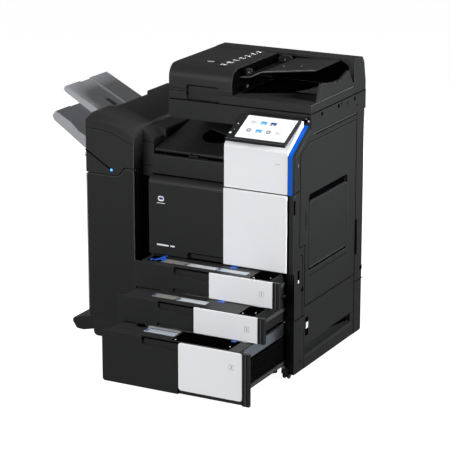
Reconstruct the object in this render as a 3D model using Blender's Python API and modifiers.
"""Floor-standing multifunction copier with a document feeder on top and a finisher hooked to its left side.
Its three paper drawers stand pulled out like steps.

Axes: +X to the machine's right, +Y to its back, +Z up.  Sizes are millimetres in the machine's own frame
(left cover at X 0, closed front at Y 0, floor at Z 0); the empty that carries everything moves that frame
so that the origin is the middle of the footprint.
"""
import math

import bmesh
import bpy
from mathutils import Matrix, Vector

MM = 0.001
GAP = 0.5                      # clearance between neighbouring pieces

# Main machine
WIDTH = 615
DEPTH = 640
SKIRT = 30                     # lower edge of the covers above the floor
COVER = 12                     # thickness of the side covers
BLOCK_TOP = 936                # top of the machine under the scanner
DOOR_TOP = 738
BAY_FLOOR = 740
SPLIT_X = 322                  # where the black front meets the white one
WHITE_RIGHT = 587
DOOR_DEPTH = 28

# Scanner and document feeder
SCANNER_LEFT, SCANNER_RIGHT, SCANNER_FRONT = 9, 613, 147
SCANNER_TOP = 1012
LID_TOP = 1044
RIDGE_TOP = 1146
RIDGE_FRONT = 527
FEEDER_RIGHT = 281

# Paper drawers: how far each face stands out, its lower and upper edge, and the bottom of its box
DRAWERS = (
    {"number": 1, "out": 114, "low": 330.5, "high": 429.7, "box_low": 340.0},
    {"number": 2, "out": 234, "low": 231.3, "high": 329.7, "box_low": 242.5},
    {"number": 3, "out": 355, "low": 30.0, "high": 230.6, "box_low": 60.0},
)
FACE = 15.5                    # thickness of a drawer front
BOX_LEFT, BOX_RIGHT, BOX_DEPTH = 20, 568, 560
RIM = 120                      # from the face back to the paper well
WALL = 6
GRIP_LEFT, GRIP_DEPTH = 168, 34

# Finisher
FIN_LEFT, FIN_RIGHT = -274, -61
FIN_ARC = {"x": -245, "z": 570, "radius": 376}
FIN_FRONT_DROP = 19            # how much lower the arched top is at the very front
FIN_DOOR = 25
RELAY_RIGHT = -4.5             # where the relay unit's bridge meets the deck
TRAY_FRONT, TRAY_BACK = 150, 470
TRAY_GROOVE = (258, 342)       # the hand-hold groove along the middle of each exit tray
GROOVE_START, GROOVE_DEPTH = -240, 10

# Rolling gear
WHEEL_RADIUS = 14
WHEEL_LIFT = 0.5
LEFT_REACH, RIGHT_REACH = -522, 615
FRONT_REACH, REAR_REACH = -355, 640

FINISHES = {                   # colour, roughness, metallic
    "black_cover": ((0.022, 0.023, 0.025), 0.45, 0.0),
    "dark_inner": ((0.012, 0.012, 0.013), 0.6, 0.0),
    "white_cover": ((0.82, 0.83, 0.84), 0.4, 0.0),
    "blue_strip": ((0.0, 0.13, 0.85), 0.3, 0.0),
    "blue_touch": ((0.02, 0.16, 0.75), 0.4, 0.0),
    "grey_tray": ((0.15, 0.155, 0.165), 0.45, 0.0),
    "steel": ((0.55, 0.56, 0.58), 0.35, 1.0),
    "screen": ((0.75, 0.8, 0.9), 0.12, 0.0),
    "glass": ((0.6, 0.7, 0.72), 0.05, 0.0),
    "rubber": ((0.03, 0.03, 0.03), 0.8, 0.0),
    "toner": ((0.1, 0.1, 0.11), 0.5, 0.0),
}

# Columns of these matrices carry an outline's two directions and its normal into the machine's axes.
PLANES = {
    "X": Matrix(((0, 0, 1, 0), (1, 0, 0, 0), (0, 1, 0, 0), (0, 0, 0, 1))),    # outline in Y and Z
    "Y": Matrix(((1, 0, 0, 0), (0, 0, -1, 0), (0, 1, 0, 0), (0, 0, 0, 1))),   # outline in X and Z
    "Z": Matrix.Identity(4),                                                   # outline in X and Y
}


def clear_scene():
    for obj in list(bpy.data.objects):
        bpy.data.objects.remove(obj, do_unlink=True)


def new_collection(name):
    collection = bpy.data.collections.new(name)
    bpy.context.scene.collection.children.link(collection)
    return collection


def make_finish(name):
    colour, roughness, metallic = FINISHES[name]
    material = bpy.data.materials.new(name)
    material.use_nodes = True
    shader = material.node_tree.nodes["Principled BSDF"]
    shader.inputs["Base Color"].default_value = (*colour, 1.0)
    shader.inputs["Roughness"].default_value = roughness
    shader.inputs["Metallic"].default_value = metallic
    return material


clear_scene()
parts = new_collection("photocopier")
cutters = new_collection("cutters")
finishes = {name: make_finish(name) for name in FINISHES}
root = bpy.data.objects.new("photocopier_frame", None)
root.location = (-(LEFT_REACH + RIGHT_REACH) / 2 * MM, -(FRONT_REACH + REAR_REACH) / 2 * MM, 0)
parts.objects.link(root)
bpy.context.view_layer.update()


# ---------------------------------------------------------------- shape helpers

def add_object(name, mesh, finish, origin):
    """Puts a mesh made in the machine's frame on an object whose origin is at the given point."""
    shift = Vector(origin) * MM
    mesh.transform(Matrix.Translation(-shift))
    obj = bpy.data.objects.new(name, mesh)
    obj.parent = root
    obj.location = shift
    if finish is None:
        cutters.objects.link(obj)
        obj.hide_render = True
        obj.display_type = "WIRE"
    else:
        parts.objects.link(obj)
        mesh.materials.append(finishes[finish])
    return obj


def round_edges(obj, width, segments=2, angle=40):
    bevel = obj.modifiers.new("rounded", "BEVEL")
    bevel.width = width * MM
    bevel.segments = segments
    bevel.limit_method = "ANGLE"
    bevel.angle_limit = math.radians(angle)
    return obj


def block(name, finish, x, y, z, rounding=0.0, origin=(0, 0, 0)):
    """A box from its X, Y and Z spans."""
    bm = bmesh.new()
    bmesh.ops.create_cube(bm, size=1.0)
    size = [(span[1] - span[0]) * MM for span in (x, y, z)]
    middle = [(span[1] + span[0]) / 2 * MM for span in (x, y, z)]
    bmesh.ops.scale(bm, vec=size, verts=bm.verts)
    bmesh.ops.translate(bm, vec=middle, verts=bm.verts)
    mesh = bpy.data.meshes.new(name)
    bm.to_mesh(mesh)
    bm.free()
    obj = add_object(name, mesh, finish, origin)
    if rounding:
        round_edges(obj, rounding)
    return obj


def slab(name, finish, points, axis, span, rounding=0.0, origin=(0, 0, 0)):
    """A flat outline made as thick as the span along the axis."""
    curve = bpy.data.curves.new(name, "CURVE")
    curve.dimensions = "2D"
    curve.fill_mode = "BOTH"
    curve.extrude = (span[1] - span[0]) / 2 * MM
    spline = curve.splines.new("POLY")
    spline.points.add(len(points) - 1)
    for spot, (u, v) in zip(spline.points, points):
        spot.co = (u * MM, v * MM, 0, 1)
    spline.use_cyclic_u = True
    holder = bpy.data.objects.new(name + "_outline", curve)
    parts.objects.link(holder)
    evaluated = holder.evaluated_get(bpy.context.evaluated_depsgraph_get())
    mesh = bpy.data.meshes.new_from_object(evaluated)
    bpy.data.objects.remove(holder)
    mesh.materials.clear()
    bm = bmesh.new()
    bm.from_mesh(mesh)
    bmesh.ops.remove_doubles(bm, verts=bm.verts, dist=1e-6)
    middle = Vector([(span[0] + span[1]) / 2 * MM if axis == letter else 0.0 for letter in "XYZ"])
    bmesh.ops.transform(bm, matrix=Matrix.Translation(middle) @ PLANES[axis], verts=bm.verts)
    bmesh.ops.recalc_face_normals(bm, faces=bm.faces)
    bm.to_mesh(mesh)
    bm.free()
    mesh.name = name
    obj = add_object(name, mesh, finish, origin)
    if rounding:
        round_edges(obj, rounding)
    return obj


def turned(name, finish, profile, axis, centre, steps=24, spin=0.0):
    """A turned piece: the profile is (radius, distance along the axis), from its far end to its near one."""
    mesh = bpy.data.meshes.new(name)
    bm = bmesh.new()
    spots = [bm.verts.new((radius * MM, 0, along * MM)) for radius, along in profile]
    for first, second in zip(spots, spots[1:]):
        bm.edges.new((first, second))
    bm.to_mesh(mesh)
    bm.free()
    obj = bpy.data.objects.new(name, mesh)
    obj.parent = root
    obj.location = Vector(centre) * MM
    turn = {"X": (0, math.radians(90), 0), "Y": (math.radians(-90), 0, 0), "Z": (0, 0, 0)}
    obj.rotation_euler = turn[axis]
    if finish is None:
        cutters.objects.link(obj)
        obj.hide_render = True
        obj.display_type = "WIRE"
    else:
        parts.objects.link(obj)
        mesh.materials.append(finishes[finish])
    screw = obj.modifiers.new("turned", "SCREW")
    screw.steps = steps
    screw.render_steps = steps
    screw.angle = math.radians(360)
    screw.use_merge_vertices = True
    screw.merge_threshold = 0.00001
    screw.use_smooth_shade = True
    return obj


def combine(obj, other, operation):
    """Cuts the other solid from obj, or joins it on, and keeps the other as a guide."""
    modifier = obj.modifiers.new(operation.lower(), "BOOLEAN")
    modifier.operation = operation
    modifier.object = other
    modifier.solver = "EXACT"
    return obj


def cut(obj, other):
    return combine(obj, other, "DIFFERENCE")


def join(obj, other):
    return combine(obj, other, "UNION")


def arc(centre_u, centre_v, radius, start, end, steps=6):
    """Points of an arc from one angle to another, in degrees."""
    turns = [math.radians(start + (end - start) * step / steps) for step in range(steps + 1)]
    return [(centre_u + radius * math.cos(turn), centre_v + radius * math.sin(turn)) for turn in turns]


def rounded_rectangle(u, v, radius, steps=4):
    corners = ((u[1] - radius, v[1] - radius, 0), (u[0] + radius, v[1] - radius, 90),
               (u[0] + radius, v[0] + radius, 180), (u[1] - radius, v[0] + radius, 270))
    points = []
    for centre_u, centre_v, start in corners:
        points += arc(centre_u, centre_v, radius, start, start + 90, steps)
    return points


# ---------------------------------------------------------------- main machine

def make_structure():
    inner = (COVER + GAP, 573.5)
    base = block("base_plate", "steel", inner, (24, 629), (50, 58))
    for number, (x, y) in enumerate(((60, 590), (525, 590))):
        for side in (-1, 1):
            ear_x = (x + side * 15.5 - 1.5, x + side * 15.5 + 1.5)
            join(base, block(f"rear_ear_{number}_{side}", None, ear_x, (y - 8, y + 8), (8, 52)))
    outline = [(18, SKIRT), (629, SKIRT), (629, BLOCK_TOP), (442, BLOCK_TOP), (442, DOOR_TOP),
               (30, DOOR_TOP), (30, 431.5), (18, 431.5)]
    slab("left_side_cover", "black_cover", outline, "X", (0, COVER))
    frame = [(30, 59), (629, 59), (629, BLOCK_TOP), (141, BLOCK_TOP), (141, 731), (30, 731)]
    slab("right_inner_frame", "steel", frame, "X", (574, 586))
    corner = [(0, 630), (589, 630), (589, 557), (WIDTH, 557)]
    corner += arc(WIDTH - 20, DEPTH - 20, 20, 0, 90, 5)
    corner += [(0, DEPTH)]
    rear = slab("rear_cover", "black_cover", corner, "Z", (SKIRT, BLOCK_TOP))
    cut(rear, block("inlet_hole", None, (470, 500), (620, 650), (100, 122)))
    block("power_inlet", "dark_inner", (470.5, 499.5), (622, DEPTH), (100.5, 121.5))
    for name, low, high in (("shelf_lower", 231.2, 240), ("shelf_middle", 330.4, 338.5)):
        block(name, "steel", inner, (22, 629), (low, high))
    upper = [(inner[0], 443), (330, 443), (330, 141), (inner[1], 141), (inner[1], 629), (inner[0], 629)]
    housing = slab("upper_frame", "dark_inner", upper, "Z", (BAY_FLOOR, BLOCK_TOP))
    inside = [(20, 451), (338, 451), (338, 149), (566, 149), (566, 621), (20, 621)]
    cut(housing, slab("upper_frame_inside", None, inside, "Z", (BAY_FLOOR - 10, BLOCK_TOP - 9)))


def make_output_bay():
    rim = [(30, BAY_FLOOR), (441.5, BAY_FLOOR), (441.5, 790), (64, 796), (50, 816), (30, 816)]
    rim = slab("bay_rim", "black_cover", rim, "X", (3, SPLIT_X - GAP))
    cut(rim, block("bay_rim_inside", None, (10, 315), (38, 434), (BAY_FLOOR - 10, 783)))
    deck = [(60, 821), (60, 831), (330, 884), (441.5, 897), (441.5, 885), (335, 873), (70, 821)]
    slab("relay_deck", "black_cover", deck, "X", (RELAY_RIGHT + GAP, SPLIT_X - GAP))


def make_front():
    hinge = (0, 2, 436)
    profile = [(0, 433), (DOOR_DEPTH, 433), (DOOR_DEPTH, DOOR_TOP)]
    profile += arc(DOOR_DEPTH, DOOR_TOP - DOOR_DEPTH, DOOR_DEPTH, 90, 180)
    door = slab("front_door", "black_cover", profile, "X", (3, WHITE_RIGHT), origin=hinge)
    cut(door, block("white_seat", None, (SPLIT_X, 600), (-10, 13), (420, 760)))
    cut(door, block("white_top", None, (SPLIT_X, 600), (-10, 40), (731.5, 760)))
    grip = [(GRIP_LEFT, 425), (SPLIT_X + 1, 425), (SPLIT_X + 1, 457)]
    grip += arc(GRIP_LEFT + 12, 445, 12, 90, 180, 4)
    cut(door, slab("door_grip", None, grip, "Y", (-5, 12)))
    block("front_white_panel", "white_cover", (SPLIT_X + GAP, WHITE_RIGHT), (0, 13 - GAP), (433, 730),
          rounding=2, origin=hinge)
    cover = [(6, 733), (139, 733), (139, 985), (129, 985)]
    cover += [(6 + 60 * 0.818, 898 + 60 * 0.5755)] + [(14, 905), (7.5, 897), (6, 888)]
    white = slab("upper_white_cover", "white_cover", cover, "X", (SPLIT_X + GAP, WHITE_RIGHT), rounding=3)
    inside = [(13, 740), (150, 740), (150, 975), (127, 975), (13, 894)]
    cut(white, slab("white_cover_inside", None, inside, "X", (SPLIT_X + 6, WHITE_RIGHT - 6)))
    strip = [(5, 733), (15, 733), (15, 877), (140, 957), (140, 970), (11, 888), (5, 880)]
    slab("blue_strip", "blue_strip", strip, "X", (WHITE_RIGHT + 1, 612))


def make_right_side():
    edge = (588, WIDTH)
    front = [(17.5, SKIRT), (100, SKIRT), (100, 521), (56, 521), (56, 875), (123, 908), (555, 908),
             (555, BLOCK_TOP), (146, BLOCK_TOP), (146, 955.5), (140.5, 955.5), (16, 876.5), (16, 732),
             (5, 732), (5, 431.5), (17.5, 431.5)]
    slab("right_front_cover", "black_cover", front, "X", edge)
    hinge = (614, 555.5, 0)
    door_outline = [(57.5, 522.5), (102, 522.5), (102, 283), (554, 283), (554, 906.5), (124, 906.5),
                    (57.5, 873.5)]
    door = slab("right_door", "black_cover", door_outline, "X", (589, WIDTH), origin=hinge)
    pocket = rounded_rectangle((133, 478), (412, 709), 14)
    cut(door, slab("bypass_pocket", None, pocket, "X", (601, 630)))
    slab("bypass_tray", "black_cover", rounded_rectangle((136, 475), (420, 680), 10), "X", (603.5, WIDTH),
         origin=(611, 300, 423))
    lower = block("lower_right_door", "black_cover", (589, WIDTH), (102, 554), (SKIRT, 281), origin=hinge)
    cut(lower, slab("lift_grip", None, [(110, 84), (524, 92), (524, 127), (110, 127)], "X", (598, 630)))


# ---------------------------------------------------------------- engine

def make_engine():
    for number in range(4):
        centre = (80 + 92 * number, 60, 695)
        profile = ((0, 400), (33, 400), (35, 392), (35, 40), (28, 25), (28, 0), (0, 0))
        turned(f"toner_bottle_{number + 1}", "toner", profile, "Y", centre, steps=20)
    block("transfer_unit", "dark_inner", (60, 460), (70, 490), (606, 632), rounding=8)
    for name, finish, x in (("heat_roller", "steel", 514.4), ("pressure_roller", "rubber", 552)):
        profile = ((0, 470), (8, 470), (8, 452), (18, 452), (18, 18), (8, 18), (8, 0), (0, 0))
        turned(name, finish, profile, "Y", (x, 60, 650), steps=24)


# ---------------------------------------------------------------- scanner and document feeder

def make_scanner():
    shape = [(SCANNER_RIGHT, 937), (SCANNER_RIGHT, SCANNER_TOP), (SCANNER_LEFT, SCANNER_TOP)]
    shape += arc(SCANNER_LEFT + 22, 937 + 22, 22, 180, 270)
    housing = slab("scanner_housing", "black_cover", shape, "Y", (SCANNER_FRONT, DEPTH), rounding=1.5)
    cut(housing, block("optics_well", None, (30, 592), (190, 560), (950, 1020)))
    block("platen_glass", "glass", (30.5, 591.5), (190.5, 559.5), (1007, 1011.5))
    block("scan_carriage", "dark_inner", (50, 96), (200, 550), (956, 1000), rounding=4)


def make_feeder():
    lift = (0, 638, 1013.3)
    profile = [(SCANNER_FRONT, 1013), (DEPTH - 1, 1013), (DEPTH - 1, LID_TOP), (622, RIDGE_TOP - 22)]
    profile += [(606, RIDGE_TOP), (RIDGE_FRONT, RIDGE_TOP), (RIDGE_FRONT, LID_TOP), (SCANNER_FRONT, LID_TOP)]
    base = slab("feeder_base", "black_cover", profile, "X", (11, 612), origin=lift)
    stop = [(208, 1040), (236, 1109), (342, 1094), (369, 1084), (481, 1114), (RIDGE_FRONT + 2, 1050),
            (RIDGE_FRONT + 2, 1040)]
    join(base, slab("stopper_wall", None, stop, "X", (600, 611)))
    ramp = [(470, 1040), (601, 1092), (601, 1040)]
    join(base, slab("stopper_ramp", None, ramp, "Y", (330, 470)))
    cut(base, block("ridge_inside", None, (20, 592), (RIDGE_FRONT + 8, 618), (1000, RIDGE_TOP - 14)))
    grip = (87, 228)
    cut(base, block("base_grip", None, grip, (140, 160), (1000, 1060)))
    hinge = (12, 300, 1046)
    side = [(RIDGE_FRONT - GAP, LID_TOP + 1), (RIDGE_FRONT - GAP, 1145), (212, 1145)]
    side += arc(197, 1095, 50, 90, 180)[1:]
    side += [(SCANNER_FRONT, LID_TOP + 1)]
    cover = slab("feeder_cover", "black_cover", side, "X", (11, FEEDER_RIGHT), rounding=4, origin=hinge)
    space = [(519, 1030), (519, 1134), *arc(197, 1095, 39, 90, 180), (158, 1030)]
    cut(cover, slab("feed_space", None, space, "X", (18, 273)))
    cut(cover, block("paper_mouths", None, (260, 290), (200, 500), (1104, 1126)))
    cut(cover, block("paper_exit", None, (260, 290), (200, 500), (1030, 1078)))
    cut(cover, slab("cover_grip", None, rounded_rectangle(grip, (1030, 1072), 8), "Y", (140, 152)))
    profile = ((0, 180), (5, 180), (5, 170), (14, 170), (14, 10), (5, 10), (5, 0), (0, 0))
    turned("pickup_roller", "rubber", profile, "Y", (228, 265, 1100), steps=20)
    tray_hinge = (290, 300, 1108)
    top = [(284, 1108), (330, 1113), (372, 1134), (560, 1145), (560, 1140), (374, 1128), (332, 1107), (284, 1102)]
    tray = slab("document_tray", "black_cover", top, "Y", (205, 520), origin=tray_hinge)
    cut(tray, slab("tray_corner", None, [(330, 200), (600, 200), (600, 304)], "Z", (1080, 1160)))
    for name, y in (("guide_front", 222), ("guide_rear", 494)):
        block(name, "dark_inner", (305, 329), (y, y + 9), (1114, 1143), rounding=3)


def make_panel():
    tilt = math.atan2(68, 140)
    along = Vector((math.cos(tilt), math.sin(tilt)))
    up = Vector((-math.sin(tilt), math.cos(tilt)))
    low = Vector((-30, 931))

    def spot(distance, height):
        return tuple(low + along * distance + up * height)

    hinge = (0, 100, 976)
    face = [spot(0, 0), spot(155, 0), spot(155, -15), spot(0, -15)]
    housing = slab("panel_housing", "dark_inner", face, "X", (345, 590), rounding=3, origin=hinge)
    key_y, key_z = spot(34, 0)
    cut(housing, slab("key_well", None, [spot(28, -5), spot(40, -5), spot(40, 5), spot(28, 5)], "X", (347.5, 358.5)))
    screen = [spot(12, GAP), spot(143, GAP), spot(143, 2), spot(12, 2)]
    slab("panel_screen", "screen", screen, "X", (362, 584), origin=hinge)
    slab("power_key", "white_cover", [spot(29, -3), spot(39, -3), spot(39, 1.5), spot(29, 1.5)], "X", (348, 358),
         origin=(353, key_y, key_z))


# ---------------------------------------------------------------- paper drawers

def make_drawer(drawer):
    face = -drawer["out"]
    low, high = drawer["low"], drawer["high"]
    name = f"drawer_{drawer['number']}"
    origin = (BOX_LEFT, face, low)
    tray = block(f"{name}_tray", "black_cover", (0, WIDTH), (face, face + FACE), (low, high), origin=origin)
    box = block(f"{name}_box", None, (BOX_LEFT, BOX_RIGHT), (face + FACE - 1, face + BOX_DEPTH),
                (drawer["box_low"], high - 1))
    join(tray, box)
    well_x = (BOX_LEFT + WALL, BOX_RIGHT - WALL)
    floor = drawer["box_low"] + WALL
    cut(tray, block(f"{name}_well", None, well_x, (face + RIM, face + BOX_DEPTH - WALL), (floor, high + 20)))
    cut(tray, block(f"{name}_under_rim", None, well_x, (face + 24, face + RIM + 5), (floor, high - 7)))
    cut(tray, block(f"{name}_seat", None, (SPLIT_X, WHITE_RIGHT + GAP), (face - 10, face + 9), (low - 10, high + 10)))
    grip = [(GRIP_LEFT, high + 5), *arc(GRIP_LEFT + 14, high - GRIP_DEPTH + 14, 14, 180, 270, 4)]
    grip += [(SPLIT_X + 1, high - GRIP_DEPTH), (SPLIT_X + 1, high + 5)]
    cut(tray, slab(f"{name}_grip", None, grip, "Y", (face - 5, face + 12)))
    if drawer["number"] != 3:
        notch = [(GRIP_LEFT, low - 5), (SPLIT_X + 1, low - 5), (SPLIT_X + 1, low + 19)]
        notch += arc(GRIP_LEFT + 10, low + 9, 10, 90, 180, 4)
        cut(tray, slab(f"{name}_notch", None, notch, "Y", (face - 5, face + 11)))
    white_low = low + 15 if drawer["number"] == 3 else low
    shape = rounded_rectangle((SPLIT_X + GAP, WHITE_RIGHT), (white_low, high), 12 if white_low > low else 1.5, 3)
    slab(f"{name}_white_panel", "white_cover", shape, "Y", (face, face + 9 - GAP), origin=origin)


def make_drawer_guide():
    face = -DRAWERS[0]["out"]
    floor = DRAWERS[0]["box_low"] + WALL
    plate = [(60, floor + 1), (110, floor + 1), (110, floor + 5), (66, floor + 5), (66, floor + 70), (60, floor + 70)]
    slab("drawer_1_guide", "blue_touch", plate, "Y", (face + 200, face + 400), origin=(60, face + 200, floor))


# ---------------------------------------------------------------- finisher

def arc_height(x):
    return FIN_ARC["z"] + math.sqrt(FIN_ARC["radius"] ** 2 - (x - FIN_ARC["x"]) ** 2)


def arched_top(left, right, steps):
    """Points of the arched top from right to left."""
    spots = [right + (left - right) * step / steps for step in range(steps + 1)]
    return [(x, arc_height(x)) for x in spots]


def make_finisher():
    upper = [(FIN_LEFT, 720), (-147, 720), (-129, 724), (-104, 755), (FIN_RIGHT - GAP, 755)]
    upper += [(FIN_RIGHT - GAP, arc_height(FIN_RIGHT) - 10)] + arched_top(FIN_LEFT, FIN_RIGHT - 12, 10)
    body = slab("finisher_body", "black_cover", upper, "Y", (0, DEPTH))
    lower_front(body.data)
    join(body, block("finisher_core", None, (FIN_LEFT, FIN_RIGHT - GAP), (FIN_DOOR + 1.5, DEPTH), (128, 760)))
    base_shape = [(FIN_RIGHT - GAP, 53), (FIN_RIGHT - GAP, 130), (-259, 130), *arc(-241, 71, 18, 180, 270, 4)]
    join(body, slab("finisher_base", None, base_shape, "Y", (8, 620)))
    join(body, block("finisher_side", None, (FIN_RIGHT - 3, -12), (70, DEPTH), (53, 714)))
    cut(body, block("stapler_space", None, (FIN_LEFT + 8, FIN_RIGHT - 10), (-10 + FIN_DOOR, 600), (140, 700)))
    cut(body, block("punch_space", None, (-232, -80), (30, 600), (690, 880)))
    cut(body, block("exit_notch", None, (-300, -240), (175, 475), (560, 990)))
    for number, y in enumerate((75, 560)):
        for side in (-1, 1):
            ear_x = (-205 + side * 15.5 - 1.5, -205 + side * 15.5 + 1.5)
            join(body, block(f"finisher_ear_{number}_{side}", None, ear_x, (y - 8, y + 8), (8, 60)))
    door = [(FIN_LEFT, 131), (FIN_RIGHT - GAP, 131), (FIN_RIGHT - GAP, 752.5), (-103, 752.5), (-128, 721.5),
            (-146.5, 717.5), (FIN_LEFT, 717.5)]
    slab("finisher_front_door", "black_cover", door, "Y", (0, FIN_DOOR), origin=(FIN_LEFT + 1, 1, 131))
    cap = [(-12, 716)] + arched_top(FIN_RIGHT, -12, 6) + [(FIN_RIGHT, 716)]
    unit = slab("relay_unit", "black_cover", cap, "Y", (70, 151))
    bridge = [(RELAY_RIGHT, 716), *arc(RELAY_RIGHT - 14, 874, 14, 0, 90), (FIN_RIGHT, arc_height(FIN_RIGHT)),
              (FIN_RIGHT, 716)]
    join(unit, slab("relay_bridge", None, bridge, "Y", (150, 441.5)))


def lower_front(mesh):
    """Lets the arched top fall towards the front edge."""
    shoulder = 56 * MM
    bm = bmesh.new()
    bm.from_mesh(mesh)
    geometry = list(bm.verts) + list(bm.edges) + list(bm.faces)
    bmesh.ops.bisect_plane(bm, geom=geometry, plane_co=(0, shoulder, 0), plane_no=(0, 1, 0), dist=1e-6)
    for vert in bm.verts:
        if vert.co.y < shoulder / 2 and vert.co.z > 800 * MM:
            vert.co.z -= FIN_FRONT_DROP * MM
    bm.to_mesh(mesh)
    bm.free()


def make_exit_trays():
    trays = {
        "upper_exit_tray": {
            "top": [(-277, 913), (-306, 928), (-460, 1008)],
            "under": [(-466, 998), (-460, 987), (-300, 893), (-277, 885)]},
        "lower_exit_tray": {
            "top": [(-277, 775), (-375, 821), (-398, 833), (-434, 865), (-507, 903)],
            "under": [(LEFT_REACH, 884), (-513, 866), (-372, 769), (-277, 724)]},
    }
    for name, sides in trays.items():
        top = sides["top"]
        tray = slab(name, "grey_tray", top + sides["under"], "Y", (TRAY_FRONT, TRAY_BACK), rounding=3)
        tip_x, tip_z = top[-1]
        groove = [(GROOVE_START, top[0][1] - 25), (GROOVE_START, tip_z + 22), (tip_x - 20, tip_z + 22),
                  (tip_x - 30, tip_z + 4)]
        groove += [(x, z - GROOVE_DEPTH) for x, z in reversed(top[1:])]
        cut(tray, slab(f"{name}_groove", None, groove, "Y", TRAY_GROOVE))
    booklet = [(-275, 60), (-275, 114), (-330, 108), (-372, 95), *arc(-376, 79, 14, 90, 200, 4), (-372, 48),
               (-340, 45)]
    slab("booklet_tray", "grey_tray", booklet, "Y", (60, 400), rounding=3)


# ---------------------------------------------------------------- rolling gear

def make_wheel(name, x, y, lift):
    rim = WHEEL_RADIUS
    profile = ((0, 13), (rim - 1.5, 13), (rim, 11.5), (rim, 7), (rim - 1.5, 5.5), (5, 5.5),
               (5, -5.5), (rim - 1.5, -5.5), (rim, -7), (rim, -11.5), (rim - 1.5, -13), (0, -13))
    turned(name, "rubber", profile, "X", (x, y, WHEEL_RADIUS + lift), steps=20)


def make_rolling_gear():
    swivel_y = 45
    wheel_y = swivel_y + 8
    for side, x in (("left", 46), ("right", 568)):
        fork = turned(f"front_{side}_fork", "steel", ((0, 49.3), (16, 49.3), (16, 46), (0, 46)), "Z",
                      (x, swivel_y, 0), steps=20)
        web = block(f"fork_web_{side}", None, (x - 4.5, x + 4.5), (swivel_y - 7, swivel_y + 17), (9, 47))
        slot = block(f"fork_slot_{side}", None, (x - 8, x + 8), (wheel_y - 6, wheel_y + 6), (2, 21))
        join(fork, web)
        cut(fork, slot)
        make_wheel(f"front_{side}_wheels", x, wheel_y, WHEEL_LIFT)
    for side, x in (("left", 60), ("right", 525)):
        make_wheel(f"rear_{side}_wheels", x, 590, 0)
        pad = ((0, 49), (6, 49), (6, 8), (16, 6), (18, 4), (18, 0), (0, 0))
        turned(f"levelling_foot_{side}", "dark_inner", pad, "Z", (100 if x < 300 else 490, 90, 0), steps=20)
    for end, y in (("front", 75), ("rear", 560)):
        make_wheel(f"finisher_{end}_wheels", -205, y, WHEEL_LIFT)


make_structure()
make_output_bay()
make_front()
make_right_side()
make_engine()
make_scanner()
make_feeder()
make_panel()
for drawer in DRAWERS:
    make_drawer(drawer)
make_drawer_guide()
make_finisher()
make_exit_trays()
make_rolling_gear()
